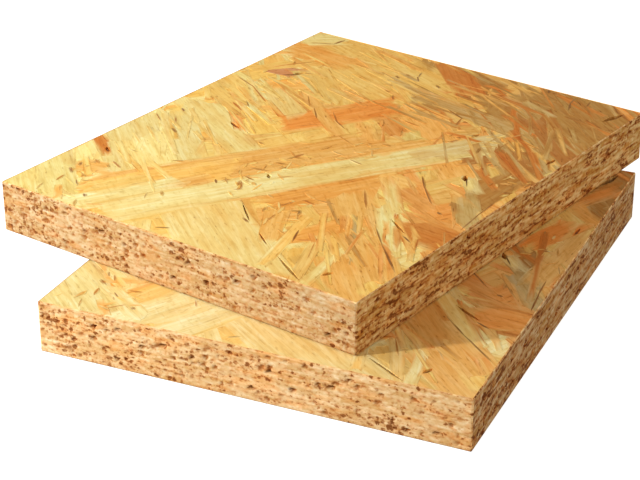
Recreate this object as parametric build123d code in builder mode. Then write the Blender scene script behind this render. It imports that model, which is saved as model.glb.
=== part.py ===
from build123d import *
import os

# Two sawn pieces of oriented strand board, stacked flat, one turned on the other.
# Both are cut from one ripped strip, so they share its width and thickness.
# The origin is the middle of the lower panel's underside: X across the strip, Y along it.
thickness = 18.0
strip_width = 145.0
lower_length = 172.0
upper_length = 180.0
arris_break = 0.3

# Seat of the upper panel on the lower one: its middle and its turn in degrees, seen from above.
upper_shift_x = -19.5
upper_shift_y = 26.0
upper_turn = -12.2
quarter_turn = 90.0

# Gaps between the strands of the top face: narrow lenses, two strands deep.
# Each row: place across and along from the panel's middle, run as a share of a quarter turn
# from the width, then length and width as shares of the largest gap's.
gap_length = 18.0
gap_width = 1.3
gap_depth = 1.6
face_gap_shares = (
    (0.296, -0.466, -0.34, 1.00, 1.00),
    (0.167, -0.402, -0.40, 0.53, 0.70),
    (0.056, -0.336, -0.47, 0.78, 0.60),
    (0.368, -0.223, -0.37, 0.70, 0.85),
    (0.455, 0.440, 0.82, 0.60, 1.80),
)

# Pockets where a short flake has lifted out of the top face, one strand deep.
# The rows read as those of the gaps.
pocket_length = 6.0
pocket_width = 2.0
pocket_depth = 0.8
face_pocket_shares = (
    (-0.276, -0.033, -0.28, 1.20, 0.90),
    (-0.355, 0.266, 0.67, 0.95, 1.00),
    (-0.022, -0.188, -0.50, 0.65, 1.00),
    (-0.428, -0.272, -0.45, 0.75, 0.85),
    (0.238, 0.204, 0.80, 0.75, 0.80),
    (0.377, -0.444, 0.72, 0.70, 0.90),
    (0.465, 0.178, 0.95, 1.00, 0.75),
)

# Knot hole in the top face: an oval, cut aslant through the branch, that narrows to its floor.
knot_hole_length = 5.0
knot_hole_width = 2.2
knot_hole_depth = 2.6
knot_floor_share = 0.6
knot_across_share = 0.351
knot_along_share = 0.020
knot_run_share = -0.67

# Pits in the sawn edges, where the saw opened the hollows between the core strands.
# Each row: place along the edge and up from its middle, then length as a share of the pit length.
pit_length = 2.4
pit_height = 1.1
pit_depth = 2.0
crosscut_pit_shares = (
    (-0.363, 0.24, 1.00),
    (-0.303, 0.29, 0.95),
    (-0.244, 0.06, 1.05),
    (-0.194, 0.17, 1.30),
    (-0.125, 0.07, 1.00),
    (-0.306, -0.30, 0.90),
    (0.012, -0.25, 1.05),
    (0.056, 0.13, 1.40),
    (0.106, -0.11, 1.00),
    (0.192, 0.11, 1.50),
    (0.236, 0.32, 0.90),
    (0.428, -0.29, 1.10),
)
ripped_pit_shares = (
    (-0.449, 0.17, 1.00),
    (-0.378, -0.28, 1.00),
    (-0.156, 0.30, 0.90),
    (-0.114, 0.07, 1.60),
    (-0.024, -0.15, 1.00),
    (0.032, 0.09, 1.40),
    (0.077, -0.28, 0.90),
    (0.228, 0.04, 1.20),
    (0.298, 0.06, 1.30),
    (0.347, 0.03, 1.10),
    (0.410, 0.27, 1.00),
)


def lens(length, width):
    """Outline of the hollow between two strands that part: two arcs meeting in a point at each end."""
    with BuildSketch() as outline:
        with BuildLine():
            SagittaArc((-length / 2, 0), (length / 2, 0), width / 2)
            SagittaArc((length / 2, 0), (-length / 2, 0), width / 2)
        make_face()
    return outline.sketch


def osb_panel(seat, length):
    """One sawn panel that lies with its underside on the seat plane."""
    face_hollows = (
        (gap_length, gap_width, gap_depth, face_gap_shares),
        (pocket_length, pocket_width, pocket_depth, face_pocket_shares),
    )
    sawn_edges = (
        (Plane.front, strip_width, length, crosscut_pit_shares),
        (Plane.right, length, strip_width, ripped_pit_shares),
        (Plane.back, strip_width, length, crosscut_pit_shares),
        (Plane.left, length, strip_width, ripped_pit_shares),
    )
    with BuildPart(seat) as panel:
        Box(strip_width, length, thickness, align=(Align.CENTER, Align.CENTER, Align.MIN))
        chamfer(panel.edges(), arris_break)

        for hollow_length, hollow_width, hollow_depth, hollow_shares in face_hollows:
            with BuildSketch(seat.offset(thickness)):
                for across, along, run, length_share, width_share in hollow_shares:
                    hollow = lens(length_share * hollow_length, width_share * hollow_width)
                    with Locations((across * strip_width, along * length)):
                        add(hollow, rotation=run * quarter_turn)
            extrude(amount=-hollow_depth, mode=Mode.SUBTRACT)

        knot_axis = Pos(knot_across_share * strip_width, knot_along_share * length, thickness)
        knot_mouth = Plane(seat * knot_axis * Rot(0, 0, knot_run_share * quarter_turn))
        with BuildSketch(knot_mouth):
            Ellipse(knot_hole_length / 2, knot_hole_width / 2)
        with BuildSketch(knot_mouth.offset(-knot_hole_depth)):
            Ellipse(knot_floor_share * knot_hole_length / 2, knot_floor_share * knot_hole_width / 2)
        loft(mode=Mode.SUBTRACT)

        for side, run, reach, pit_shares in sawn_edges:
            with BuildSketch(seat * Pos(0, 0, thickness / 2) * side.offset(reach / 2).location):
                for along, up, length_share in pit_shares:
                    with Locations((along * run, up * thickness)):
                        add(lens(length_share * pit_length, pit_height))
            extrude(amount=-pit_depth, mode=Mode.SUBTRACT)
    return panel


lower_seat = Plane.XY
upper_seat = Plane.XY.offset(thickness).shift_origin((upper_shift_x, upper_shift_y, thickness))
upper_seat = upper_seat.rotated((0, 0, upper_turn))

lower_panel = osb_panel(lower_seat, lower_length)
lower_panel.part.label = "lower_panel"
upper_panel = osb_panel(upper_seat, upper_length)
upper_panel.part.label = "upper_panel"

os.makedirs("parts", exist_ok=True)
export_step(lower_panel.part, "parts/lower_panel.step")
export_step(upper_panel.part, "parts/upper_panel.step")
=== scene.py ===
import math
import random

import bmesh
import bpy
import numpy
from mathutils import Matrix, Vector, noise
from mathutils.geometry import delaunay_2d_cdt


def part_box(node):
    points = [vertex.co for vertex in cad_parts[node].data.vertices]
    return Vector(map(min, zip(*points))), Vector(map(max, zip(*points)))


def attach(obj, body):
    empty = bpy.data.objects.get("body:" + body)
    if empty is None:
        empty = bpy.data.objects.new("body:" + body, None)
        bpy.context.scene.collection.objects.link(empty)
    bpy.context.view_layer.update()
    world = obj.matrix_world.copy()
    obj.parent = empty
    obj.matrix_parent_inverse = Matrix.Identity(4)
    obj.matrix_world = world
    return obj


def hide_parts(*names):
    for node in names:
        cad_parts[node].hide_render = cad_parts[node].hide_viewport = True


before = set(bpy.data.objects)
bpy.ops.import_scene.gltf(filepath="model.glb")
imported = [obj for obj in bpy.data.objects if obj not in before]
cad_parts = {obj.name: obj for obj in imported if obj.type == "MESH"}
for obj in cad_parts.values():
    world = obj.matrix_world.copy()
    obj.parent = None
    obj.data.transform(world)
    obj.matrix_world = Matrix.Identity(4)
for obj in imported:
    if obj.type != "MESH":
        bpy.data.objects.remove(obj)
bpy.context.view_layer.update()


# Pressed strands. Thin flakes of softwood, sliced along the grain, tumbled in resin and wax and
# pressed flat, so that later ones lie over earlier ones. Their long sides split straight along the
# grain and their ends are torn.
WOOD = {
    "cream": (0.87, 0.71, 0.26),
    "chalk": (0.82, 0.68, 0.275),
    "straw": (0.85, 0.65, 0.225),
    "flax": (0.78, 0.61, 0.20),
    "wheat": (0.76, 0.55, 0.20),
    "corn": (0.85, 0.59, 0.18),
    "honey": (0.85, 0.54, 0.132),
    "gold": (0.83, 0.45, 0.104),
    "apricot": (0.83, 0.385, 0.070),
    "amber": (0.80, 0.35, 0.072),
    "copper": (0.83, 0.31, 0.049),
    "rust": (0.62, 0.215, 0.030),
    "sand": (0.59, 0.352, 0.100),
    "tan": (0.495, 0.242, 0.048),
    "rose": (0.66, 0.29, 0.10),
    "toffee": (0.475, 0.197, 0.035),
    "umber": (0.30, 0.13, 0.03),
    # The last two tones are painted shade for the hollows, and they also darken a few cracks.
    "pocket": (0.20, 0.085, 0.025),
    "bark": (0.10, 0.042, 0.014),
}
PALE_TO_BROWN = (
    "cream", "straw", "straw", "honey", "honey", "gold", "gold", "amber", "amber", "tan", "toffee",
)
# Millimetres between the points along a strand's sides and ends, and how far out strands start, as a
# share of the face.
SIDE_STEP = 8
END_STEP = 1.3
STREWN_REACH = 0.53


def torn_outline(length, width, taper, rng):
    """One strand along x about its own middle, in millimetres: split sides and torn ends."""
    steps = max(2, round(length / SIDE_STEP))
    teeth = max(2, round(width / END_STEP))

    def side(sign):
        points = []
        for i in range(steps + 1):
            x = (i / steps - 0.5) * length
            half = 0.5 * width * (1 + taper * 2 * x / length) + rng.gauss(0, 0.025 * width ** 0.5)
            points.append((x, sign * half))
        return points

    def end(sign):
        points, step = [], 0.0
        slant = rng.uniform(-1.0, 1.0) * min(width, 0.4 * length)
        limit = 0.25 * length
        for j in range(1, teeth):
            share = j / teeth - 0.5
            step = 0.6 * step + rng.gauss(0, 0.5 + 0.06 * width)
            if rng.random() < 0.14:
                step += rng.uniform(-3.0, 3.0)
            reach = max(-limit, min(limit, step + slant * share))
            points.append((sign * 0.5 * length + reach, share * width * (1 + sign * taper)))
        return points

    return side(-1) + end(1) + side(1)[::-1] + end(-1)[::-1]


def lay(outline, across, along, run):
    """Turns an outline by run degrees from x and sets it down, in millimetres from a face's middle."""
    c, s = math.cos(math.radians(run)), math.sin(math.radians(run))
    return [(across + c * x - s * y, along + s * x + c * y) for x, y in outline]


def new_strand(across, along, run, length, width, tone, rng, blur=0.06):
    """A strand as it lies on a face, its tone a little off the table's by the blur."""
    taper = rng.uniform(-0.15, 0.15)
    lift = 1 + rng.gauss(0, blur)
    warm = 1 + rng.gauss(0, blur)
    r, g, b = WOOD[tone]
    return {
        "outline": lay(torn_outline(length, width, taper, rng), across, along, run),
        "at": (across, along), "run": math.radians(run), "half": (length / 2, width / 2),
        "taper": taper,
        "tone": (min(0.9, r * lift), min(0.8, g * lift * warm), min(0.5, b * lift * warm * warm)),
        "luck": rng.random(), "drop": 0.0,
    }


def pick_tone_with_painted_shade(across, along, rng, spread):
    """A tone for a place given in shares: paler to the left front and browner to the right back, the
    browning being painted shade of light falling off from the left front.
    """
    browner = 0.46 + 0.42 * (across + along) + rng.gauss(0, spread)
    return PALE_TO_BROWN[min(len(PALE_TO_BROWN) - 1, max(0, int(browner * len(PALE_TO_BROWN))))]


def pick_run(rng):
    """The way a strand lies, in degrees: most slant one way, some cross them, few lie anyhow."""
    pick = rng.random()
    if pick < 0.58:
        return rng.gauss(-40, 14)
    return rng.gauss(60, 11) if pick < 0.86 else rng.uniform(-90, 90)


def strew(count, lengths, widths, width, length, rng, spread=0.12):
    """Strands of like sizes strewn over a whole face."""
    strands = []
    for _ in range(count):
        across = rng.uniform(-STREWN_REACH, STREWN_REACH)
        along = rng.uniform(-STREWN_REACH, STREWN_REACH)
        strands.append(new_strand(
            across * width, along * length, pick_run(rng), rng.uniform(*lengths), rng.uniform(*widths),
            pick_tone_with_painted_shade(across, along, rng, spread), rng,
        ))
    return strands


def strand_mat(width, length, rng):
    """The mat of a face: long strands first, then shorter flakes over them, then splinters."""
    mat = strew(70, (45, 120), (9, 22), width, length, rng)
    mat += strew(120, (12, 48), (2.5, 10), width, length, rng)
    return mat + strew(90, (5, 22), (0.7, 2.0), width, length, rng, 0.18)


# The strands that mark this board's good face, laid over its mat in this order: across and along
# from the middle as shares of the width and length, run in degrees, length, width and tone.
MARKED_STRANDS = (
    (-0.200, 0.380, -20, 70, 40, "honey"),
    (0.300, 0.400, -35, 90, 44, "tan"),
    (0.330, 0.440, -34, 80, 9, "tan"),
    (0.240, 0.360, -31, 84, 10, "tan"),
    (0.330, 0.330, -36, 70, 8, "sand"),
    (0.400, 0.270, -38, 44, 12, "toffee"),
    (0.410, 0.210, -42, 40, 7, "sand"),
    (0.140, 0.292, -9, 61, 10, "sand"),
    (0.150, 0.440, 60, 20, 10, "gold"),
    (0.010, 0.440, -45, 34, 13, "rust"),
    (0.150, 0.404, -62, 29, 6, "tan"),
    (-0.390, 0.380, -3, 38, 16, "apricot"),
    (-0.455, 0.464, 40, 22, 15, "straw"),
    (-0.395, 0.260, 10, 16, 9, "rose"),
    (-0.425, 0.284, 52, 29, 6.5, "honey"),
    (-0.250, 0.240, -38, 34, 12, "honey"),
    (-0.405, 0.124, -27, 38, 9, "honey"),
    (-0.410, 0.068, -28, 38, 7, "honey"),
    (-0.360, 0.140, -40, 22, 9, "straw"),
    (-0.250, 0.110, -40, 34, 11, "corn"),
    (-0.390, -0.188, -40, 52, 38, "straw"),
    (-0.290, -0.060, -30, 60, 14, "straw"),
    (-0.300, -0.260, -38, 42, 17, "cream"),
    (-0.430, -0.420, -40, 32, 14, "flax"),
    (-0.475, -0.475, -42, 26, 12, "flax"),
    (-0.105, 0.124, 60, 49, 17, "copper"),
    (-0.095, 0.084, -37, 63, 5.9, "gold"),
    (0.060, -0.428, -36, 70, 29, "straw"),
    (-0.030, -0.150, 59, 112, 10, "gold"),
    (-0.130, -0.184, 58, 106, 19, "gold"),
    (-0.215, -0.320, 58, 56, 18, "honey"),
    (-0.265, -0.396, 64, 24, 14, "honey"),
    (-0.150, -0.296, 62, 16, 9, "gold"),
    (-0.230, -0.412, 60, 40, 13, "chalk"),
    (0.130, -0.180, 60, 44, 16, "apricot"),
    (0.335, -0.290, -47, 66, 17, "gold"),
    (0.050, -0.150, 59, 139, 16.5, "straw"),
    (0.236, 0.112, 59, 37, 13, "wheat"),
    (-0.090, -0.330, 59, 66, 12, "chalk"),
    (0.270, -0.124, -50, 29, 6, "straw"),
    (0.375, 0.172, 20, 12, 5, "toffee"),
    (0.430, 0.116, -45, 30, 14, "toffee"),
    (0.310, 0.096, 50, 13, 6.5, "toffee"),
    (0.440, 0.020, 88, 40, 12, "tan"),
    (0.450, -0.100, -55, 26, 10, "sand"),
    (0.395, 0.040, -38, 19, 3.2, "rust"),
    (0.385, 0.000, -47, 15, 6, "wheat"),
    (0.376, 0.002, -47, 9, 4.6, "cream"),
    (0.460, -0.224, -4, 29, 17, "rust"),
    (0.355, -0.244, -50, 40, 6, "cream"),
    (0.245, -0.316, 65, 26, 10, "apricot"),
    (0.140, -0.345, -60, 24, 8, "gold"),
    (0.420, -0.450, -45, 34, 12, "gold"),
    (0.212, -0.388, -76, 38, 4.4, "honey"),
    (0.300, -0.420, -68, 32, 4.6, "corn"),
    (0.350, -0.428, -80, 29, 4, "straw"),
    (-0.452, -0.264, -38, 18, 4.6, "rust"),
    (-0.390, -0.348, 20, 14, 10, "gold"),
    (-0.355, -0.472, -50, 11.6, 3.2, "gold"),
    (-0.290, -0.012, -45, 17.4, 4.4, "amber"),
)

# Bunches of narrow strands that split along the grain: across and along as shares, the spread as a
# share, run in degrees, how many and their tones.
BUNCHES = (
    (0.330, 0.410, 0.110, -36, 60, ("tan", "rust", "sand", "tan", "sand")),
    (0.120, 0.310, 0.090, -14, 36, ("sand", "gold", "tan", "rust")),
    (0.390, 0.170, 0.070, -46, 40, ("tan", "gold", "rust", "sand")),
    (0.340, -0.300, 0.070, -50, 36, ("gold", "honey", "amber", "sand")),
    (-0.320, 0.130, 0.070, -34, 30, ("honey", "gold", "honey", "straw")),
    (-0.150, 0.400, 0.110, -22, 40, ("honey", "gold", "sand", "gold")),
    (-0.360, -0.150, 0.080, -40, 22, ("straw", "honey", "corn")),
)

# Crumbs, where short broken bits gathered between the strands: across and along as shares, the
# spread as a share and how many.
CRUMB_TONES = ("straw", "honey", "honey", "gold", "sand", "tan", "toffee")
CRUMB_ZONES = (
    (-0.020, -0.120, 0.030, 26),
    (-0.060, -0.220, 0.035, 26),
    (0.240, 0.200, 0.050, 24),
    (0.130, -0.290, 0.040, 20),
    (-0.370, -0.420, 0.060, 20),
    (-0.380, 0.250, 0.060, 14),
    (0.040, 0.000, 0.050, 16),
    (0.440, 0.080, 0.060, 22),
)


# Hollows of the good face. Gaps between strands, pockets of lifted flakes and the knot hole stand
# as the solid has them: across and along as shares, run in degrees, length, width and depth.
FACE_VOIDS = (
    (0.296, -0.466, -30.6, 18.0, 1.30, 1.6), (0.167, -0.402, -36.0, 9.5, 0.91, 1.6),
    (0.056, -0.336, -42.3, 14.0, 0.78, 1.6), (0.368, -0.223, -33.3, 12.6, 1.10, 1.6),
    (0.455, 0.440, 73.8, 10.8, 2.34, 1.6), (0.351, 0.020, -60.3, 5.0, 2.20, 2.6),
    (-0.276, -0.033, -25.2, 7.2, 1.80, 0.8), (-0.355, 0.266, 60.3, 5.7, 2.00, 0.8),
    (-0.022, -0.188, -45.0, 3.9, 2.00, 0.8), (-0.428, -0.272, -40.5, 4.5, 1.70, 0.8),
    (0.238, 0.204, 72.0, 4.5, 1.60, 0.8), (0.377, -0.444, 64.8, 4.2, 1.80, 0.8),
    (0.465, 0.178, 85.5, 6.0, 1.50, 0.8),
)

# Cracks along strand borders, dark fibres and a near black streak from the knot hole, too fine for the
# solid: both ends, across and along as shares, then width and tone.
CRACK_DEPTH = 0.08
CRACKS = (
    (0.200, -0.132, 0.260, -0.196, 1.2, "toffee"), (0.265, -0.020, 0.305, -0.060, 0.9, "umber"),
    (0.300, -0.056, 0.365, -0.112, 1.0, "umber"), (0.400, -0.248, 0.435, -0.264, 0.9, "pocket"),
    (0.330, -0.248, 0.405, -0.312, 0.8, "umber"), (0.400, -0.306, 0.485, -0.372, 1.1, "umber"),
    (0.475, -0.044, 0.480, -0.108, 0.9, "umber"), (0.480, -0.100, 0.488, -0.166, 0.9, "umber"),
    (0.205, -0.340, 0.227, -0.382, 1.0, "umber"), (0.228, -0.372, 0.260, -0.358, 1.4, "rust"),
    (0.270, -0.364, 0.300, -0.416, 0.7, "toffee"), (0.148, -0.272, 0.157, -0.290, 1.5, "umber"),
    (0.347, 0.030, 0.380, -0.012, 0.8, "bark"), (0.315, 0.488, 0.322, 0.456, 1.3, "umber"),
    (0.322, 0.458, 0.340, 0.424, 1.2, "umber"), (0.358, 0.488, 0.366, 0.462, 1.0, "umber"),
    (0.233, 0.494, 0.242, 0.482, 1.6, "pocket"), (0.090, 0.286, 0.160, 0.258, 0.9, "umber"),
    (0.152, 0.260, 0.166, 0.222, 0.8, "toffee"), (0.200, 0.256, 0.330, 0.232, 0.7, "toffee"),
    (0.320, 0.236, 0.405, 0.218, 0.7, "toffee"), (-0.020, 0.256, 0.090, 0.236, 0.6, "toffee"),
    (-0.100, 0.424, -0.088, 0.396, 1.2, "umber"), (-0.092, 0.398, -0.072, 0.378, 1.0, "umber"),
    (-0.128, 0.398, -0.108, 0.390, 1.3, "umber"), (-0.142, 0.376, -0.124, 0.368, 1.5, "umber"),
    (-0.020, 0.382, 0.000, 0.370, 1.8, "umber"), (0.055, 0.368, 0.090, 0.352, 0.9, "toffee"),
    (-0.072, 0.282, -0.056, 0.263, 1.2, "umber"), (-0.350, 0.260, -0.385, 0.238, 1.5, "umber"),
    (-0.375, 0.340, -0.405, 0.308, 1.2, "toffee"), (-0.405, 0.312, -0.440, 0.264, 1.5, "rust"),
    (-0.405, 0.488, -0.412, 0.452, 1.8, "umber"), (-0.410, 0.456, -0.470, 0.428, 1.2, "toffee"),
    (-0.242, 0.174, -0.200, 0.134, 0.8, "toffee"), (-0.182, 0.130, -0.138, 0.090, 0.9, "umber"),
    (-0.130, 0.136, -0.080, 0.096, 0.8, "toffee"), (-0.095, 0.104, -0.045, 0.080, 0.9, "umber"),
    (-0.108, 0.072, -0.155, 0.026, 1.2, "rust"), (-0.450, -0.028, -0.432, -0.039, 1.4, "umber"),
    (-0.388, -0.118, -0.360, -0.132, 1.7, "umber"), (-0.167, -0.071, -0.144, -0.078, 1.6, "tan"),
    (-0.480, -0.080, -0.440, -0.104, 0.7, "toffee"), (-0.430, -0.068, -0.400, -0.096, 0.8, "toffee"),
    (-0.428, -0.344, -0.416, -0.362, 1.6, "umber"), (-0.430, -0.376, -0.402, -0.394, 1.8, "umber"),
    (-0.370, -0.308, -0.330, -0.324, 1.5, "toffee"), (-0.368, -0.412, -0.350, -0.426, 1.1, "umber"),
    (-0.302, -0.448, -0.288, -0.457, 1.8, "umber"), (-0.170, -0.356, -0.150, -0.372, 1.6, "tan"),
    (-0.190, -0.378, -0.175, -0.400, 1.0, "toffee"), (-0.072, -0.214, -0.032, -0.220, 1.2, "umber"),
    (-0.110, -0.258, -0.096, -0.270, 1.3, "umber"), (-0.260, -0.240, -0.235, -0.228, 1.2, "tan"),
    (-0.055, -0.478, -0.030, -0.466, 1.4, "umber"), (-0.480, 0.178, -0.390, 0.148, 0.9, "toffee"),
    (-0.400, 0.152, -0.305, 0.098, 0.9, "toffee"), (-0.372, 0.058, -0.320, 0.034, 1.6, "rust"),
    (-0.350, 0.080, -0.315, 0.054, 0.8, "umber"), (-0.035, 0.046, 0.040, 0.020, 0.8, "toffee"),
    (0.070, 0.148, 0.090, 0.116, 0.8, "toffee"), (0.035, -0.252, 0.060, -0.260, 1.4, "tan"),
    (0.140, -0.220, 0.190, -0.216, 1.3, "toffee"), (0.065, -0.356, 0.095, -0.368, 1.3, "umber"),
    (0.398, -0.134, 0.412, -0.138, 1.6, "umber"), (0.326, -0.180, 0.340, -0.200, 1.4, "rust"),
)


def lens_outline(length, width, rng):
    """A slit pointed at both ends, along x about its own middle, with slightly torn sides."""
    steps = 6
    side = []
    for i in range(1, steps):
        share = i / steps * 2 - 1
        side.append((share * length / 2, 0.5 * width * (1 - share * share)))
    low = [(x, -y * rng.uniform(0.75, 1.1)) for x, y in side]
    high = [(x, y * rng.uniform(0.75, 1.1)) for x, y in side]
    return [(-length / 2, 0.0)] + low + [(length / 2, 0.0)] + high[::-1]


def new_hollow(across, along, run, length, width, depth, tone, rng):
    """A slit that is laid like a strand and sinks by its own depth."""
    hollow = new_strand(across, along, run, length, width, tone, rng)
    hollow["outline"] = lay(lens_outline(length, width, rng), across, along, run)
    hollow["taper"] = 0.0
    hollow["drop"] = depth
    return hollow


def marked(rows, width, length, rng):
    """The strands of a table, laid by their shares of the face."""
    return [new_strand(a * width, b * length, *rest, rng, 0.03) for a, b, *rest in rows]


def bunches(width, length, rng):
    """The narrow strands of the good face."""
    narrow = []
    for across, along, spread, run, count, tones in BUNCHES:
        for _ in range(count):
            narrow.append(new_strand(
                rng.gauss(across, spread) * width, rng.gauss(along, spread) * length, rng.gauss(run, 9),
                rng.uniform(7, 30), rng.uniform(0.7, 2.6), rng.choice(tones), rng,
            ))
    return narrow


def crumbs(width, length, rng):
    """The crumbs of the good face, lying any way."""
    bits = []
    for across, along, spread, count in CRUMB_ZONES:
        for _ in range(count):
            bits.append(new_hollow(
                rng.gauss(across, spread) * width, rng.gauss(along, spread) * length,
                rng.uniform(-90, 90), rng.uniform(2, 7), rng.uniform(0.7, 1.7), 0.0,
                rng.choice(CRUMB_TONES), rng,
            ))
    return bits


def face_hollows(width, length, rng):
    """All hollows of the good face, the cracks first."""
    hollows = []
    for across_0, along_0, across_1, along_1, wide, tone in CRACKS:
        start = Vector((across_0 * width, along_0 * length))
        reach = Vector((across_1 * width, along_1 * length)) - start
        run = math.degrees(math.atan2(reach.y, reach.x))
        middle = start + reach / 2
        hollows.append(new_hollow(*middle, run, 1.15 * reach.length, wide, CRACK_DEPTH, tone, rng))
    for across, along, run, long, wide, depth in FACE_VOIDS:
        # Painted shade: each hollow takes a dark tone by its depth, near black when deeper than a
        # millimetre and pocket brown when shallower.
        tone = "bark" if depth > 1 else "pocket"
        hollows.append(new_hollow(across * width, along * length, run, long, wide, depth, tone, rng))
    return hollows


def new_finish(name):
    """A new material's tree and short ways to add a node, add up values, shade and paint."""
    material = bpy.data.materials.new(name)
    material.use_nodes = True
    tree = material.node_tree

    def add(kind, inputs=(), **settings):
        node = tree.nodes.new("ShaderNode" + kind)
        for key, value in settings.items():
            setattr(node, key, value)
        for key, value in dict(inputs).items():
            if isinstance(value, bpy.types.NodeSocket):
                tree.links.new(value, node.inputs[key])
            else:
                node.inputs[key].default_value = value
        return node.outputs[0]

    def sum_of(*terms):
        """Adds up (value, share) pairs."""
        total = None
        for value, share in terms:
            if total is None:
                total = add("Math", {0: value, 1: share}, operation="MULTIPLY")
            else:
                total = add("Math", {0: value, 1: share, 2: total}, operation="MULTIPLY_ADD")
        return total

    def ease(value, low, high, start=0.0, end=1.0):
        """Carries a value softly from start to end as it goes from low to high."""
        return add("MapRange", {
            "Value": value, "From Min": low, "From Max": high, "To Min": start, "To Max": end,
        }, interpolation_type="SMOOTHSTEP")

    def blend(share, colour, other, blend_type="MIX"):
        """Mixes a share of another colour into a colour."""
        mix = add("Mix", {0: share, 6: colour, 7: other}, data_type="RGBA", blend_type=blend_type)
        return mix.node.outputs[2]

    def shade(value, *stops):
        """Colours along a value from 0 to 1."""
        ramp = tree.nodes.new("ShaderNodeValToRGB")
        tree.links.new(value, ramp.inputs[0])
        points = ramp.color_ramp.elements
        points[0].position, points[1].position = stops[0][0], stops[-1][0]
        points[0].color, points[1].color = (*stops[0][1], 1), (*stops[-1][1], 1)
        for position, colour in stops[1:-1]:
            points.new(position).color = (*colour, 1)
        return ramp.outputs[0]

    def paint(colour, roughness, sheen, height, depth):
        """Links the colour, gloss and fine bumps to the shader."""
        shader = tree.nodes["Principled BSDF"]
        tree.links.new(colour, shader.inputs["Base Color"])
        tree.links.new(roughness, shader.inputs["Roughness"])
        shader.inputs["Specular IOR Level"].default_value = sheen
        bump = add("Bump", {"Strength": 0.5, "Distance": depth, "Height": height})
        tree.links.new(bump, shader.inputs["Normal"])

    return material, tree, add, sum_of, ease, blend, shade, paint


pressed_wood, tree, add, sum_of, ease, blend, shade, paint = new_finish("pressed_strand_wood")
tone = tree.nodes.new("ShaderNodeVertexColor")
tone.layer_name = "tone"
luck = tone.outputs["Alpha"]
under = tree.nodes.new("ShaderNodeVertexColor")
under.layer_name = "under"
grain = add("UVMap", uv_map="grain")
apart = add("CombineXYZ", {
    "X": sum_of((luck, 731.0)), "Y": sum_of((luck, 417.0)), "Z": sum_of((luck, 97.0)),
})
along = add("VectorMath", {0: grain, 1: apart}, operation="ADD")
place = tree.nodes.new("ShaderNodeTexCoord").outputs["Object"]


def streaks(long, wide, detail, roughness=0.5, distortion=0.0):
    """Noise drawn out along the grain: features about long by wide, in millimetres."""
    spread = add("VectorMath", {0: along, 1: (1 / long, 1 / wide, 1.0)}, operation="MULTIPLY")
    return add("TexNoise", {
        "Vector": spread, "Scale": 1.0, "Detail": detail, "Roughness": roughness,
        "Distortion": distortion,
    })


def patches(size, detail):
    """Noise in even patches over the whole face, about size millimetres across."""
    return add("TexNoise", {"Vector": place, "Scale": 1000 / size, "Detail": detail})


def marks(long, wide):
    """Noise drawn out the way most strands lie, over the whole face and across strands."""
    turned = add("VectorRotate", {"Vector": place, "Angle": math.radians(46)}, rotation_type="Z_AXIS")
    scale = 1000 / long, 1000 / wide, 1000.0
    spread = add("VectorMath", {0: turned, 1: scale}, operation="MULTIPLY")
    return add("TexNoise", {"Vector": spread, "Scale": 1.0, "Detail": 2.0, "Distortion": 0.5})


# Frayed borders: near its sides and ends a strand thins out, so that the one below shows through.
half = add("SeparateXYZ", {0: add("UVMap", uv_map="size")}).node.outputs
spot = add("SeparateXYZ", {0: grain}).node.outputs
off_side = add("Math", {0: spot["Y"]}, operation="ABSOLUTE")
off_end = add("Math", {0: spot["X"]}, operation="ABSOLUTE")
side_gap = add("Math", {0: half["Y"], 1: off_side}, operation="SUBTRACT")
end_gap = add("Math", {0: half["X"], 1: off_end}, operation="SUBTRACT")
fray = streaks(25.0, 0.8, 2.0)
softness = ease(patches(14.0, 1.0), 0.35, 0.65, 1.0, 6.0)
eaten = sum_of((half["Y"], ease(streaks(14.0, 5.0, 2.0), 0.42, 0.66, 0.0, 0.35)))
side_soft = add("Math", {0: softness, 1: sum_of((half["Y"], 0.8))}, operation="MINIMUM")
end_soft = add("Math", {0: sum_of((softness, 1.8)), 1: sum_of((half["X"], 0.8))}, operation="MINIMUM")
frayed_side = ease(sum_of((side_gap, 1.0), (eaten, -1.0)), 0.0, side_soft, 1.0, 0.0)
end_top = add("Math", {0: end_soft, 1: 3.4})
frayed_end = ease(sum_of((end_gap, 1.0), (fray, 6.0)), 2.4, end_top, 1.0, 0.0)
frayed = add("Math", {0: frayed_side, 1: frayed_end}, operation="MAXIMUM")
colour = blend(sum_of((frayed, 0.88)), tone.outputs["Color"], under.outputs["Color"])

# Grain: soaked and pale stretches, fibres, year rings, dark dashes and a dark line along some sides, the
# line being partly stain and partly painted shadow of the step at a strand's edge.
green = add("SeparateColor", {0: tone.outputs["Color"]}).node.outputs["Green"]
lively = ease(green, 0.35, 0.65, 1.0, 0.75)


def stained(colour, share, tint):
    """Tints a colour by a share, less on the pale and even strands."""
    return blend(sum_of((share, lively)), colour, (*tint, 1), "MULTIPLY")


soaked = ease(streaks(34.0, 6.0, 2.0), 0.42, 0.70, 0.0, 0.5)
colour = blend(soaked, colour, (0.97, 0.80, 0.55, 1), "MULTIPLY")
colour = stained(colour, ease(streaks(24.0, 1.9, 2.0), 0.50, 0.68, 0.0, 0.75), (0.91, 0.81, 0.62))
colour = stained(colour, ease(streaks(17.0, 1.8, 2.0), 0.47, 0.68, 0.0, 0.65), (1.06, 1.18, 1.54))
colour = blend(ease(patches(22.0, 2.0), 0.40, 0.68, 0.0, 0.5), colour, (0.98, 0.85, 0.66, 1), "MULTIPLY")
colour = stained(colour, ease(marks(4.5, 1.4), 0.52, 0.74, 0.0, 0.7), (0.84, 0.75, 0.58))
colour = stained(colour, ease(marks(6.0, 1.8), 0.52, 0.74, 0.0, 0.6), (1.05, 1.12, 1.38))
fibre = streaks(18.0, 1.4, 3.0, 0.55)
fine = streaks(4.0, 0.4, 2.0)
ring = streaks(60.0, 3.2, 1.5, 0.4, 0.4)
late = ease(add("Math", {0: sum_of((ring, 46.0))}, operation="SINE"), 0.2, 1.0)
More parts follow.
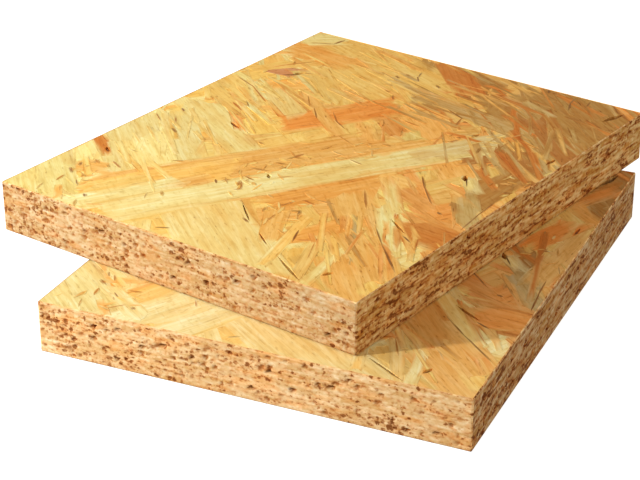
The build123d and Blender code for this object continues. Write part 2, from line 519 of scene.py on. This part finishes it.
dash = ease(streaks(3.8, 0.9, 1.0), 0.64, 0.74)
# The dark line along some sides is partly stain and partly painted shadow of the step at a strand's
# edge.
line = add("Math", {
    0: ease(side_gap, 0.0, 0.9, 1.0, 0.0), 1: ease(streaks(14.0, 9.0, 1.0), 0.50, 0.62),
}, operation="MULTIPLY")
dark = sum_of(
    (fibre, 1.05), (fine, 0.4), (late, 0.08), (line, 0.30), (dash, 0.34), (patches(5.0, 2.0), 0.5),
)
dark = add("Math", {0: dark, 1: 0.63}, operation="SUBTRACT")
stain = shade(
    dark, (0.0, (1.08, 1.16, 1.42)), (0.40, (1.0, 1.0, 1.0)),
    (0.72, (0.82, 0.71, 0.56)), (1.0, (0.45, 0.31, 0.21)),
)
colour = blend(lively, colour, stain, "MULTIPLY")
rough = add("MapRange", {"Value": fibre, "To Min": 0.5, "To Max": 0.8})
paint(colour, rough, 0.2, sum_of((fibre, 1.0), (fine, 0.6)), 0.00010)


# Sawn edges. The saw opens the layers of the mat in the four edges of a panel, rough and pitted
# where strands bridge each other. Pits stand as the solid has them: along the edge and up from its
# middle as shares, and length as a share of the usual one.
ARRIS = 0.3
COLUMN = 0.6
ROWS = 30
LAYER = 0.75
PIT_LENGTH = 2.4
PIT_HEIGHT = 1.1
PIT_DEPTH = 1.8
PIT_BIN = 4
CROSSCUT_PITS = (
    (-0.363, 0.24, 1.0), (-0.303, 0.29, 0.95), (-0.244, 0.06, 1.05), (-0.194, 0.17, 1.3),
    (-0.125, 0.07, 1.0), (-0.306, -0.30, 0.9), (0.012, -0.25, 1.05), (0.056, 0.13, 1.4),
    (0.106, -0.11, 1.0), (0.192, 0.11, 1.5), (0.236, 0.32, 0.9), (0.428, -0.29, 1.1),
)
RIPPED_PITS = (
    (-0.449, 0.17, 1.0), (-0.378, -0.28, 1.0), (-0.156, 0.30, 0.9), (-0.114, 0.07, 1.6),
    (-0.024, -0.15, 1.0), (0.032, 0.09, 1.4), (0.077, -0.28, 0.9), (0.228, 0.04, 1.2),
    (0.298, 0.06, 1.3), (0.347, 0.03, 1.1), (0.410, 0.27, 1.0),
)
CROSSCUT_TONES = (0.68, 0.37, 0.145), (0.77, 0.45, 0.20)
# The ripped edges are browner and redder than the crosscut ones as painted warm shade of the right
# edges; the left edges take the same tones.
SHADED_RIPPED_TONES = (0.66, 0.30, 0.085), (0.80, 0.41, 0.14)
# Painted shade: a sawn edge darkens towards this tone as a pit deepens.
PIT_SHADE_TONE = (0.30, 0.095, 0.014)
ARRIS_TONES = (0.52, 0.26, 0.09), (0.80, 0.52, 0.22)
CROSSCUT_STREAKS = 0.2
RIPPED_STREAKS = 1.15


def tinted(tones, tint):
    """The tones, each multiplied by the tint."""
    return [tuple(part * share for part, share in zip(tone, tint)) for tone in tones]


def columns(run):
    """Places along an edge of the given length where the faces and the edges share a point."""
    count = round((run - 2 * ARRIS) / COLUMN)
    return [-run / 2 + ARRIS + i * (run - 2 * ARRIS) / count for i in range(count + 1)]


def chip_luck(x, z, seed):
    """A number from 0 to 1 for the strand that shows at a place of a sawn edge."""
    wave = 1.1 * noise.noise(Vector((x / 26, z / 6, seed)))
    wave += 0.25 * noise.noise(Vector((x / 5, z, seed + 9)))
    layer = math.floor((z + wave) / LAYER) + 0.5
    chip_length = 5 + 14 * noise.cell(Vector((layer, seed, 0.5)))
    chip = math.floor(x / chip_length + 7 * noise.cell(Vector((layer, 0.5, seed)))) + 0.5
    return noise.cell(Vector((chip, layer, seed)))


def pit_table(run, thickness, pits, rng):
    """Pits of one edge by the bin they lie in along it: the solid's, and small ones that crowd to
    one end."""
    table = {}
    opened = [
        (along * run, thickness * (0.5 + up), 0.36 * share * PIT_LENGTH, 0.36 * PIT_HEIGHT, PIT_DEPTH)
        for along, up, share in pits
    ]
    for _ in range(round(run / 0.9)):
        size = rng.uniform(0.3, 0.85)
        opened.append((
            (0.98 * rng.random() ** 1.5 - 0.49) * run, thickness * rng.uniform(0.07, 0.93), size,
            size * rng.uniform(0.5, 0.9), size * rng.uniform(0.4, 1.0),
        ))
    for pit in opened:
        for near in (-1, 0, 1):
            table.setdefault(round(pit[0] / PIT_BIN) + near, []).append(pit)
    return table


def pit_drop(x, z, pits, seed):
    """How far a pit is open at a place of a sawn edge, with a ragged rim."""
    drop = 0.0
    for pit_x, pit_z, half_x, half_z, depth in pits:
        ragged = 1 + 0.55 * noise.noise(Vector((x / 0.7, z / 0.7, seed + pit_x)))
        far = math.hypot((x - pit_x) / half_x, (z - pit_z) / half_z) * ragged
        drop = max(drop, depth * min(1.0, (1.35 - far) / 0.7))
    return drop


def saw_edge(bm, cells, thickness, turn, run, reach, pits, tones, streaky, strip, rng):
    """One sawn edge as a fine grid: strands cut across, rough from the saw, with open pits."""
    xs = columns(run)
    tall = thickness - 2 * ARRIS
    seed = rng.uniform(0, 500)
    place = Matrix.Rotation(math.radians(turn), 3, "Z")
    out, side = place @ Vector((0, -1, 0)), place @ Vector((1, 0, 0))
    pits = pit_table(run, thickness, pits, rng)
    brown, pale = (Vector(tone) for tone in tones)
    rows = []
    for k in range(ROWS + 1):
        row = []
        z = ARRIS + tall * k / ROWS
        for i, x in enumerate(xs):
            luck = chip_luck(x, z, seed)
            hole = pit_drop(x, z, pits.get(round(x / PIT_BIN), ()), seed)
            rough = 0.03 * luck + 0.03 * (0.5 + noise.noise(Vector((x / 1.2, z / 0.9, seed + 31))))
            on_rim = k in (0, ROWS) or i in (0, len(xs) - 1)
            drop = 0.0 if on_rim else min(PIT_DEPTH, max(0.0, rough + hole))
            # Painted shade in the pits: the tone darkens as the pit deepens.
            tone = brown.lerp(pale, luck).lerp(Vector(PIT_SHADE_TONE), 0.92 * min(1.0, hole / 0.40))
            row.append((bm.verts.new(side * x + out * (reach / 2 - drop) + Vector((0, 0, z))), tone))
        rows.append(row)
    cells.append({
        "at": out * reach / 2, "u": side, "v": Vector((0, 0, 1)), "out": out,
        "half": (run / 2, tall / 2), "taper": 0.0,
        "tone": tones[0], "luck": 0.5, "drop": 0.0, "kind": "sawn",
        "map": (0.0, strip, 1.0), "face": (run, thickness),
    })
    mark = bm.faces.layers.int["cell"]
    tint = bm.loops.layers.float_color["tone"]
    for low, high in zip(rows, rows[1:]):
        for i in range(len(xs) - 1):
            corners = (low[i], low[i + 1], high[i + 1], high[i])
            face = bm.faces.new([vert for vert, _ in corners])
            face[mark] = len(cells) - 1
            for loop, (_, tone) in zip(face.loops, corners):
                loop[tint] = (*tone, streaky)
    return [[vert for vert, _ in row] for row in rows]


sawn_wood, tree, add, sum_of, ease, blend, shade, paint = new_finish("sawn_edge_wood")
tone = tree.nodes.new("ShaderNodeVertexColor")
tone.layer_name = "tone"
place = tree.nodes.new("ShaderNodeTexCoord").outputs["Object"]


def flecks(long, tall, detail, roughness=0.5):
    """Noise in lying flecks, about long by tall in millimetres, the same on every upright edge."""
    scale = 1000 / long, 1000 / long, 1000 / tall
    spread = add("VectorMath", {0: place, 1: scale}, operation="MULTIPLY")
    return add("TexNoise", {"Vector": spread, "Scale": 1.0, "Detail": detail, "Roughness": roughness})


layer = flecks(9.0, 0.8, 2.0)
crumb = flecks(1.5, 1.0, 2.0)
reach = add("SeparateXYZ", {0: add("UVMap", uv_map="grain")})
crowd = add("Math", {0: flecks(14.0, 8.0, 1.0), 1: ease(reach, -68.0, -8.0, 0.14, 0.0)})


def specks(size, share, rim):
    """Brown specks in cells about size millimetres wide, the fewer the larger the share, with a rim."""
    scale = 1000 / size, 1000 / size, 1250 / size
    bent = add("VectorMath", {0: place, 1: scale}, operation="MULTIPLY")
    wander = add("TexNoise", {"Vector": bent, "Scale": 1.4, "Detail": 1.0}).node.outputs["Color"]
    bent = add("VectorMath", {0: wander, 1: (0.9, 0.9, 0.9), 2: bent}, operation="MULTIPLY_ADD")
    cell = add("TexVoronoi", {"Vector": bent, "Scale": 1.0}).node.outputs
    luck = add("SeparateColor", {0: cell["Color"]})
    reach = sum_of((luck, 0.62), (crowd, 0.9), (cell["Distance"], -1.0))
    return ease(reach, share, share + rim)


large = specks(2.1, 0.57, 0.24)
small = specks(1.0, 0.52, 0.30)
streak = add("Math", {0: flecks(7.0, 1.1, 2.0), 1: 0.5}, operation="SUBTRACT")
streak = add("Math", {0: streak, 1: tone.outputs["Alpha"]}, operation="MULTIPLY")
colour = tone.outputs["Color"]
for long, tall, low, high, share, tint in (
    (3.0, 1.2, 0.46, 0.66, 0.8, (1.05, 1.16, 1.34, 1)),
    (2.4, 1.4, 0.48, 0.70, 0.7, (0.96, 0.78, 0.66, 1)),
    (9.0, 3.0, 0.48, 0.68, 0.7, (1.06, 0.86, 0.64, 1)),
):
    colour = blend(ease(flecks(long, tall, 2.0), low, high, 0.0, share), colour, tint, "MULTIPLY")
dark = sum_of((layer, 0.55), (crumb, 1.4), (large, 0.56), (small, 0.32), (streak, 2.6))
dark = add("Math", {0: dark, 1: 0.635}, operation="SUBTRACT")
stain = shade(
    dark, (0.05, (1.10, 1.22, 1.42)), (0.4, (1.0, 1.0, 1.0)),
    (0.7, (0.74, 0.54, 0.42)), (1.0, (0.34, 0.20, 0.13)),
)
colour = blend(1.0, colour, stain, "MULTIPLY")
rough = add("MapRange", {"Value": layer, "To Min": 0.7, "To Max": 0.95})
paint(colour, rough, 0.05, sum_of((layer, 1.0), (crumb, 1.0), (large, -1.0)), 0.00010)


# Sawn panels. Each is cut to size from the pressed board: two pressed faces with the mat's fine
# relief, four sawn edges and a narrow broken arris all round.
MM = 0.001
BOARD_SEED = 23

# In millimetres: the flat lip round a face, the walls between strands, the depth of the lowest strand,
# the mean breadth of a sliver, how near a point on a line lies to it, and the shortest edge kept.
FRAME_LIP = 0.05
STEP_WALL = 0.04
RELIEF = 0.16
SLIVER = 0.16
NEAR = 0.01
SHORTEST = 0.0005

# The flat layout for baking, in millimetres over its whole span: the good face, the underside beside
# it on a smaller scale, and the four edges in strips above.
BAKE_SPAN = 226.0
TOP_MAP = (0.0, 0.0, 1.0)
UNDER_MAP = (183.0, 0.0, 0.28)
EDGE_STRIPS = 147.0
EDGE_STRIP = 19.5


def clip(outline, half_x, half_y):
    """The part of an outline inside a rectangle about the middle."""
    for axis, sign, limit in ((0, 1, half_x), (0, -1, half_x), (1, 1, half_y), (1, -1, half_y)):
        kept = []
        for i, here in enumerate(outline):
            last = outline[i - 1]
            inside = sign * here[axis] <= limit
            if inside != (sign * last[axis] <= limit):
                t = (sign * limit - last[axis]) / (here[axis] - last[axis])
                kept.append((last[0] + t * (here[0] - last[0]), last[1] + t * (here[1] - last[1])))
            if inside:
                kept.append(here)
        outline = kept
    return outline


def top_strands(points, faces, outlines):
    """The number of the last outline laid over the middle of each small face."""
    spots = numpy.array([sum((points[i] for i in corners), Vector((0, 0))) / 3 for corners in faces])
    owner = numpy.zeros(len(faces), int)
    for number, outline in enumerate(outlines):
        inside = numpy.zeros(len(faces), bool)
        for (ax, ay), (bx, by) in zip(outline, outline[1:] + outline[:1]):
            if ay != by:
                level = (spots[:, 1] > ay) != (spots[:, 1] > by)
                inside ^= level & (spots[:, 0] < ax + (spots[:, 1] - ay) * (bx - ax) / (by - ay))
        owner[inside] = number
    return owner.tolist()


def owners_of(points, faces, outlines, plain):
    """The top strand over each small face. Slivers go to the plain strand that they touch most."""
    owner = top_strands(points, faces, outlines)
    sides = {}
    for f, corners in enumerate(faces):
        for i, a in enumerate(corners):
            b = corners[i - 1]
            sides.setdefault((min(a, b), max(a, b)), []).append(f)
    pairs = [(a, b, *both) for (a, b), both in sides.items() if len(both) == 2]
    for _ in range(3):
        group = list(range(len(faces)))

        def root(f):
            while group[f] != f:
                group[f] = group[group[f]]
                f = group[f]
            return f

        for _, _, f, g in pairs:
            if owner[f] == owner[g]:
                group[root(f)] = root(g)
        area, rim, touch = {}, {}, {}
        for f, corners in enumerate(faces):
            a, b, c = (points[i] for i in corners)
            g = root(f)
            area[g] = area.get(g, 0) + abs((b - a).cross(c - a)) / 2
        for a, b, f, g in pairs:
            f, g = root(f), root(g)
            if f != g:
                d = (points[a] - points[b]).length
                for one, other in ((f, g), (g, f)):
                    rim[one] = rim.get(one, 0) + d
                    near = touch.setdefault(one, {})
                    near[other] = near.get(other, 0) + d
        change = {}
        for g, size in area.items():
            if 0 < owner[g] <= plain and g in touch and size / max(rim[g], 1e-6) < SLIVER:
                others = {h: d for h, d in touch[g].items() if 0 < owner[h] <= plain}
                if others:
                    change[g] = owner[max(others, key=others.get)]
        if not change:
            break
        for f in range(len(faces)):
            owner[f] = change.get(root(f), owner[f])
    return owner


def lay_face(bm, cells, strands, hollows, width, length, height, up):
    """Lays strands on one face, opens the hollows and joins what shows of each into flat cells."""
    half_x, half_y = width / 2 - ARRIS, length / 2 - ARRIS
    xs, ys = columns(width), columns(length)
    border = [(x, -half_y) for x in xs[:-1]] + [(half_x, y) for y in ys[:-1]]
    border += [(x, half_y) for x in xs[:0:-1]] + [(-half_x, y) for y in ys[:0:-1]]
    laid = strands + hollows
    limits = half_x - FRAME_LIP, half_y - FRAME_LIP
    outlines = [border] + [clip(one["outline"], *limits) for one in laid]
    points, lines = [], []
    for outline in outlines:
        start, count = len(points), len(outline)
        points += [Vector(point) for point in outline]
        lines += [(start + i, start + (i + 1) % count) for i in range(count)]
    points, _, faces, _, _, _ = delaunay_2d_cdt(points, lines, [], 0, 1e-4)
    owner = owners_of(points, faces, outlines, len(strands))
    base = len(cells)
    flat = new_strand(0, 0, -40, length, width, "honey", random.Random(1))
    for one in [flat] + laid:
        c, s = math.cos(one["run"]), math.sin(one["run"])
        cells.append({
            "at": Vector((*one["at"], height)), "u": Vector((c, s, 0)), "v": Vector((-s, c, 0)),
            "out": Vector((0, 0, 1 if up else -1)), "half": one["half"], "taper": one["taper"],
            "tone": one["tone"], "luck": one["luck"], "drop": one["drop"],
            "kind": "lip" if one is flat else "pressed",
            "map": TOP_MAP if up else UNDER_MAP, "face": (length, width),
        })
    mark = bm.faces.layers.int["cell"]
    verts = [bm.verts.new((x, y, height)) for x, y in points]
    for corners, who in zip(faces, owner):
        ring = [verts[i] for i in corners]
        face = bm.faces.new(ring if up else ring[::-1])
        face[mark] = base + who
    inner = []
    for vert in verts:
        for edge in vert.link_edges:
            if edge.verts[0] is vert and len(edge.link_faces) == 2:
                a, b = edge.link_faces
                if a[mark] == b[mark] != base:
                    inner.append(edge)
    bmesh.ops.dissolve_edges(bm, edges=inner, use_verts=False, use_face_split=False)
    kept = [v for v in verts if v.is_valid]
    rim = [v for v in kept if max(abs(v.co.x) - half_x, abs(v.co.y) - half_y) > -NEAR]

    def row(axis, limit, step):
        on_line = [v for v in rim if abs(v.co[axis] - limit) < NEAR]
        return sorted(on_line, key=lambda v: step * v.co[1 - axis])

    return {
        "front": row(1, -half_y, 1), "right": row(0, half_x, 1),
        "back": row(1, half_y, -1), "left": row(0, -half_x, -1),
    }


def bridge(bm, a, b, cell):
    """Closes the gap between two rows of points with the same count."""
    mark = bm.faces.layers.int["cell"]
    for i in range(len(a) - 1):
        bm.faces.new((a[i], a[i + 1], b[i + 1], b[i]))[mark] = cell


def sink_cells(bm, cells):
    """Gives each pressed cell a narrow wall and sinks it by the depth it lies at.

    Returns the tone of the strand below for each cell and corner, and each new point's old corner.
    """
    mark = bm.faces.layers.int["cell"]
    flat = [face for face in bm.faces if cells[face[mark]]["kind"] == "pressed"]
    below, deepest = {}, {}
    for face in flat:
        number = face[mark]
        for vert in face.verts:
            others = [other[mark] for other in vert.link_faces if other[mark] < number]
            lower = [n for n in others if cells[n]["kind"] == "pressed"]
            below[number, vert] = cells[max(lower)]["tone"] if lower else cells[number]["tone"]
            drop = max(deepest.get(vert, (0.0, None))[0], cells[number]["drop"])
            deepest[vert] = drop, cells[number]["out"]
    held = {vert for face in bm.faces if cells[face[mark]]["kind"] == "arris" for vert in face.verts}
    old = set(bm.verts)
    bm.normal_update()
    bmesh.ops.inset_individual(bm, faces=flat, thickness=STEP_WALL, use_even_offset=True)
    corner_of = {}
    for face in flat:
        for vert in face.verts:
            if vert not in old:
                near = (edge.other_vert(vert) for edge in vert.link_edges)
                corner_of[vert] = next(corner for corner in near if corner in old)
    for vert, corner in corner_of.items():
        reach = vert.co - corner.co
        vert.co = corner.co + reach * min(1.0, 2 * STEP_WALL / max(reach.length, 1e-6))
    folded = set()
    for a, b, c in bm.calc_loop_triangles():
        out = cells[a.face[mark]]["out"]
        if abs(out.z) == 1 and (b.vert.co - a.vert.co).cross(c.vert.co - a.vert.co).dot(out) < 0:
            folded.add(a.face)
    for face in folded:
        for vert in face.verts:
            if vert in corner_of:
                vert.co = corner_of[vert].co
    for face in flat:
        cell = cells[face[mark]]
        for vert in face.verts:
            if vert in corner_of:
                vert.co -= cell["out"] * cell["drop"]
    for vert, (drop, out) in deepest.items():
        if vert not in held:
            vert.co -= out * drop
    return below, corner_of


def map_loops(bm, cells, below, corner_of):
    """Writes what the finishes need: grain, strand size, tones and the flat layout for baking."""
    mark = bm.faces.layers.int["cell"]
    tone = bm.loops.layers.float_color["tone"]
    under = bm.loops.layers.float_color.new("under")
    grain = bm.loops.layers.uv.new("grain")
    size = bm.loops.layers.uv.new("size")
    bake = bm.loops.layers.uv.new("OFBake")
    brown, pale = (Vector(one) for one in ARRIS_TONES)
    for face in bm.faces:
        cell = cells[face[mark]]
        pressed = cell["kind"] in ("pressed", "lip")
        face.material_index = 0 if pressed else 1
        face.smooth = cell["kind"] == "sawn"
        shift_x, shift_y, scale = cell["map"]
        long, wide = cell["face"]
        for loop in face.loops:
            co = loop.vert.co
            reach = co - cell["at"]
            u, v = reach.dot(cell["u"]), reach.dot(cell["v"])
            half_long, half_wide = cell["half"]
            loop[grain].uv = (u, v)
            loop[size].uv = (half_long, half_wide * (1 + cell["taper"] * u / half_long))
            if pressed:
                loop[tone] = (*cell["tone"], cell["luck"])
                corner = corner_of.get(loop.vert, loop.vert)
                loop[under] = (*below.get((face[mark], corner), cell["tone"]), 1.0)
                x, y = co.y + long / 2, co.x + wide / 2
            else:
                if cell["kind"] == "arris":
                    luck = 0.5 + 0.9 * noise.noise(co / 1.7)
                    # Painted contact shadow: the bottom arris, where a panel stands, is darkened to 0.45
                    # of its tone.
                    foot_shade = 0.45 if co.z < 1 else 1.0
                    loop[tone] = (*(foot_shade * brown.lerp(pale, min(1.0, max(0.0, luck)))), 0.5)
                x, y = u + long / 2, co.z
            spot = shift_x + 1 + scale * x, shift_y + 1 + scale * y
            loop[bake].uv = (spot[0] / BAKE_SPAN, spot[1] / BAKE_SPAN)


def sawn_board(name, node, turn, own, face_sheen_tint, crosscut_light_tint, ripped_shade_tint):
    """A whole panel in place of its solid, with its own strands, hollows and sawn edges."""
    low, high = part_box(node)
    c, s = abs(math.cos(turn)), abs(math.sin(turn))
    span = (high - low) / MM
    width = round((span.x * c - span.y * s) / (c * c - s * s))
    length = round((span.y * c - span.x * s) / (c * c - s * s))
    thickness = span.z
    rng = random.Random(BOARD_SEED)

    bm = bmesh.new()
    mark = bm.faces.layers.int.new("cell")
    bm.loops.layers.float_color.new("tone")
    cells = []
    top = strand_mat(width, length, rng)
    top += marked(MARKED_STRANDS, width, length, rng)
    top += bunches(width, length, rng)
    top += marked(own, width, length, rng)
    top += crumbs(width, length, rng)
    for one in top:
        one["tone"], = tinted([one["tone"]], face_sheen_tint)
    under = strand_mat(width, length, rng)
    for mat in (top, under):
        for rank, one in enumerate(mat):
            one["drop"] = RELIEF * (1 - rank / len(mat)) + rng.uniform(0.0, 0.04)
    upper = lay_face(bm, cells, top, face_hollows(width, length, rng), width, length, thickness, True)
    lower = lay_face(bm, cells, under, [], width, length, 0.0, False)

    edges = {}
    order = ("front", "right", "back", "left")
    for n, which in enumerate(order):
        if n % 2 == 0:
            cut = width, length, CROSSCUT_PITS, tinted(CROSSCUT_TONES, crosscut_light_tint), CROSSCUT_STREAKS
        else:
            cut = length, width, RIPPED_PITS, tinted(SHADED_RIPPED_TONES, ripped_shade_tint), RIPPED_STREAKS
        strip = EDGE_STRIPS + EDGE_STRIP * n
        edges[which] = saw_edge(bm, cells, thickness, 90 * n, *cut, strip, rng)
    sawn = len(cells) - 4
    cells += [dict(cells[sawn + n], kind="arris") for n in range(4)]
    for n, which in enumerate(order):
        grid, after = edges[which], edges[order[(n + 1) % 4]]
        arris = sawn + 4 + n
        bridge(bm, grid[-1], upper[which], arris)
        bridge(bm, lower[which], grid[0], arris)
        bridge(bm, [row[0] for row in after], [row[-1] for row in grid], arris)
        bm.faces.new((grid[-1][-1], after[-1][0], upper[which][-1]))[mark] = arris
        bm.faces.new((after[0][0], grid[0][-1], lower[which][-1]))[mark] = arris

    below, corner_of = sink_cells(bm, cells)
    map_loops(bm, cells, below, corner_of)
    bmesh.ops.dissolve_degenerate(bm, edges=bm.edges, dist=SHORTEST)
    middle = (low + high) / 2
    seat = Matrix.Translation((middle.x, middle.y, low.z))
    seat = seat @ Matrix.Rotation(turn, 4, "Z") @ Matrix.Scale(MM, 4)
    bmesh.ops.transform(bm, matrix=seat, verts=bm.verts)
    mesh = bpy.data.meshes.new(name)
    bm.to_mesh(mesh)
    bm.free()
    board = bpy.data.objects.new(name, mesh)
    bpy.context.scene.collection.objects.link(board)
    mesh.materials.append(pressed_wood)
    mesh.materials.append(sawn_wood)
    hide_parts(node)
    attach(board, "root")


# Lower panel. A sawn offcut of pressed softwood strands that lies flat on the ground, square to the
# frame. Its good face is up and shows a few redder strands of its own beside the upper panel, here in
# rows as those of the marked strands. Their redness where the upper panel's shadow falls is partly
# painted warm shade.
LOWER_STRANDS = (
    (0.430, 0.180, -50, 96, 30, "honey"),
    (0.470, 0.060, 84, 44, 10, "gold"),
    (0.300, -0.276, -50, 34, 14, "apricot"),
    (0.400, -0.315, -44, 26, 6, "gold"),
    (-0.460, -0.300, -38, 30, 9, "cream"),
    (-0.330, -0.435, -36, 24, 7, "straw"),
    (0.440, 0.270, -40, 40, 7, "apricot"),
    (0.457, 0.360, 60, 22, 9, "copper"),
    (0.420, 0.150, 68, 26, 11, "copper"),
    (0.435, 0.010, -78, 50, 2.6, "rust"),
    (0.462, -0.222, -4, 27, 14, "copper"),
    (0.355, -0.244, -50, 38, 6, "honey"),
)
# Its tints differ from the upper panel's to make up for how the lamps fall: its crosscut edges are
# painted lighter, its ripped edges are painted darker, and its good face gets a blue lift as a painted
# sheen.
sawn_board(
    "lower_panel_board", "lower_panel", turn=0.0, own=LOWER_STRANDS, face_sheen_tint=(0.98, 1.02, 1.24),
    crosscut_light_tint=(0.98, 1.10, 1.18), ripped_shade_tint=(0.595, 0.765, 1.09),
)


# Upper panel. A longer offcut of the same board, cut from the same ripped strip. It rests loose on
# the lower panel, shifted to the back left and turned a little.
sawn_board(
    "upper_panel_board", "upper_panel", turn=math.radians(-12.2), own=(), face_sheen_tint=(1.0, 1.0, 1.0),
    crosscut_light_tint=(0.74, 0.85, 0.96), ripped_shade_tint=(0.75, 0.945, 1.12),
)


# Stage. A plain pale floor under the stack, that is seen as white and keeps the stack's shadow, and
# white air round it. A small lamp stands low at the left front, a soft one above the left side, and a
# warm card at the right fills the shadows.
bpy.ops.object.select_all(action="DESELECT")
bpy.ops.mesh.primitive_plane_add(size=6, location=(0, 0, 0))
floor = bpy.context.object
floor.name = "floor"
floor_paint = bpy.data.materials.new("floor_paint")
floor_paint.use_nodes = True
tree = floor_paint.node_tree
shader = tree.nodes["Principled BSDF"]
shader.inputs["Base Color"].default_value = (0.62, 0.62, 0.62, 1)
shader.inputs["Roughness"].default_value = 0.9
shader.inputs["Specular IOR Level"].default_value = 0.0
rays = tree.nodes.new("ShaderNodeLightPath")
seen = tree.nodes.new("ShaderNodeMath")
seen.operation = "MAXIMUM"
tree.links.new(rays.outputs["Is Camera Ray"], seen.inputs[0])
glossy = tree.nodes.new("ShaderNodeMath")
glossy.operation = "MAXIMUM"
tree.links.new(rays.outputs["Is Glossy Ray"], glossy.inputs[0])
tree.links.new(rays.outputs["Is Transmission Ray"], glossy.inputs[1])
tree.links.new(glossy.outputs[0], seen.inputs[1])
glow = tree.nodes.new("ShaderNodeMath")
glow.operation = "MULTIPLY"
glow.inputs[1].default_value = 0.82
tree.links.new(seen.outputs[0], glow.inputs[0])
shader.inputs["Emission Color"].default_value = (1, 1, 1, 1)
tree.links.new(glow.outputs[0], shader.inputs["Emission Strength"])
floor.data.materials.append(floor_paint)

world = bpy.data.worlds.new("studio")
world.use_nodes = True
tree = world.node_tree
air = tree.nodes["Background"]
air.inputs["Color"].default_value = (1, 1, 1, 1)
rays = tree.nodes.new("ShaderNodeLightPath")
level = tree.nodes.new("ShaderNodeMapRange")
level.inputs["To Min"].default_value = 0.40
level.inputs["To Max"].default_value = 1.0
tree.links.new(rays.outputs["Is Camera Ray"], level.inputs["Value"])
tree.links.new(level.outputs[0], air.inputs["Strength"])
bpy.context.scene.world = world


def lamp(name, place, aim, size, power, colour=(1, 1, 1)):
    """A square lamp of the given size and power, turned to the point it aims at."""
    light = bpy.data.lights.new(name, "AREA")
    light.color = colour
    light.size = size
    light.energy = power
    box = bpy.data.objects.new(name, light)
    box.location = place
    box.rotation_euler = (Vector(aim) - Vector(place)).to_track_quat("-Z", "Y").to_euler()
    bpy.context.scene.collection.objects.link(box)


lamp("side_lamp", (-0.460, -0.454, 0.231), (0, 0, 0.03), 0.03, 4.35)
lamp("soft_box", (-0.29, -0.08, 0.30), (-0.06, 0, 0.03), 0.26, 0.68)
lamp("fill_card", (0.85, -0.10, 0.24), (0.05, 0, 0.02), 0.50, 3.05, (1, 0.85, 0.68))

# Camera. A long lens that looks down on the stack from the right front, fitted to the corners of
# both panels in the photo.
eye = bpy.data.cameras.new("camera")
eye.lens = 104.8
eye.sensor_width = 36
eye.clip_start = 0.01
camera = bpy.data.objects.new("camera", eye)
camera.location = (0.21797, -0.51987, 0.29445)
camera.rotation_euler = (math.radians(90 - 26.37), 0, math.radians(24.03))
bpy.context.scene.collection.objects.link(camera)
bpy.context.scene.camera = camera

bpy.context.scene.view_settings.view_transform = "Standard"

bpy.context.view_layer.update()
